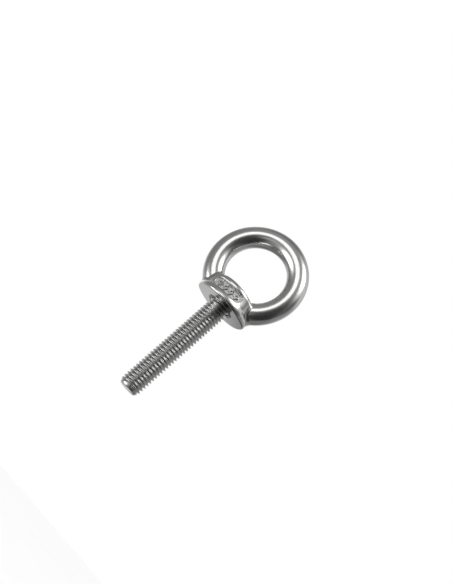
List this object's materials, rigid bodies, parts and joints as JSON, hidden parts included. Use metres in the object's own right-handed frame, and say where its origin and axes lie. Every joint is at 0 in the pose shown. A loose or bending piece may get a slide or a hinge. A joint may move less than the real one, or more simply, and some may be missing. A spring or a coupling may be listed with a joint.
{
  "type": "eye bolt",
  "caption": "Lifting eye bolt: a round polished eye on a round collar with a flat seat, and a long, fully threaded M10 stud locked in it.",
  "frame": {"origin": "centre of the collar's flat seat face, on the stud's axis", "axes": "+Z along the stud's axis, from the stud towards the eye; the eye's ring lies in the XZ plane; the collar's marked face looks towards -Y"},
  "size_m": [0.0436, 0.0252, 0.0919],
  "materials": {
    "polished_steel": "mirror-polished stainless steel with fine polishing marks, satin on the seat face",
    "threaded_steel": "bright rolled thread in plain stainless steel, darker in the roots",
    "bead_steel": "dull, slightly rough stainless steel"
  },
  "bodies": {
    "root": {"eye_head": "polished_steel", "threaded_stud": "threaded_steel", "locking_bead": "bead_steel"}
  },
  "joints": []
}
